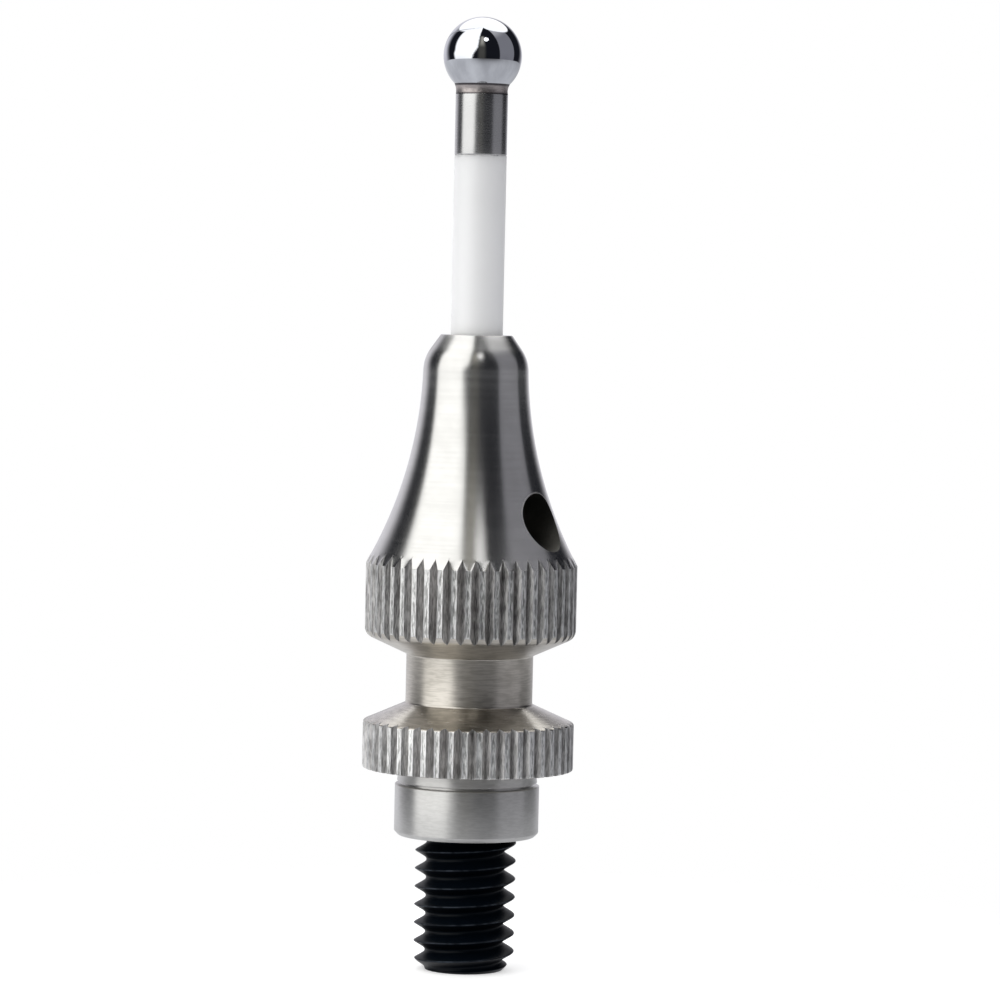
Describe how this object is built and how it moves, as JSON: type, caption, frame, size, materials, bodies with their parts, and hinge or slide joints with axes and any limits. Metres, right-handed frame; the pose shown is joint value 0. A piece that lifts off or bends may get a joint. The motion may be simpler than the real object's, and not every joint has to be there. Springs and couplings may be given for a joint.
{
  "type": "edge finder probe stylus",
  "caption": "Screw-in probe stylus for a 3D edge finder: turned steel bell with straight-knurled grip rings, white ceramic stem, bright ball tip and black threaded stud.",
  "frame": {"origin": "centre of the stud's flat lower end, on which the stylus stands", "axes": "+Z along the turned axis from the stud to the ball; +X along the cross hole"},
  "size_m": [0.0081, 0.008, 0.0366],
  "materials": {
    "turned_steel": "fine turned, polished on the bell",
    "black_oxide": "black oxide on steel, slightly oily",
    "ceramic": "ground white oxide ceramic, satin",
    "ground_steel": "ground, satin",
    "braze": "dull braze metal",
    "bright_ball": "lapped and polished"
  },
  "bodies": {
    "root": {"body": "turned_steel", "threaded_stud": "black_oxide", "ceramic_stem": "ceramic", "ball_ferrule": "ground_steel", "braze_fillet": "braze", "ball": "bright_ball"}
  },
  "joints": []
}
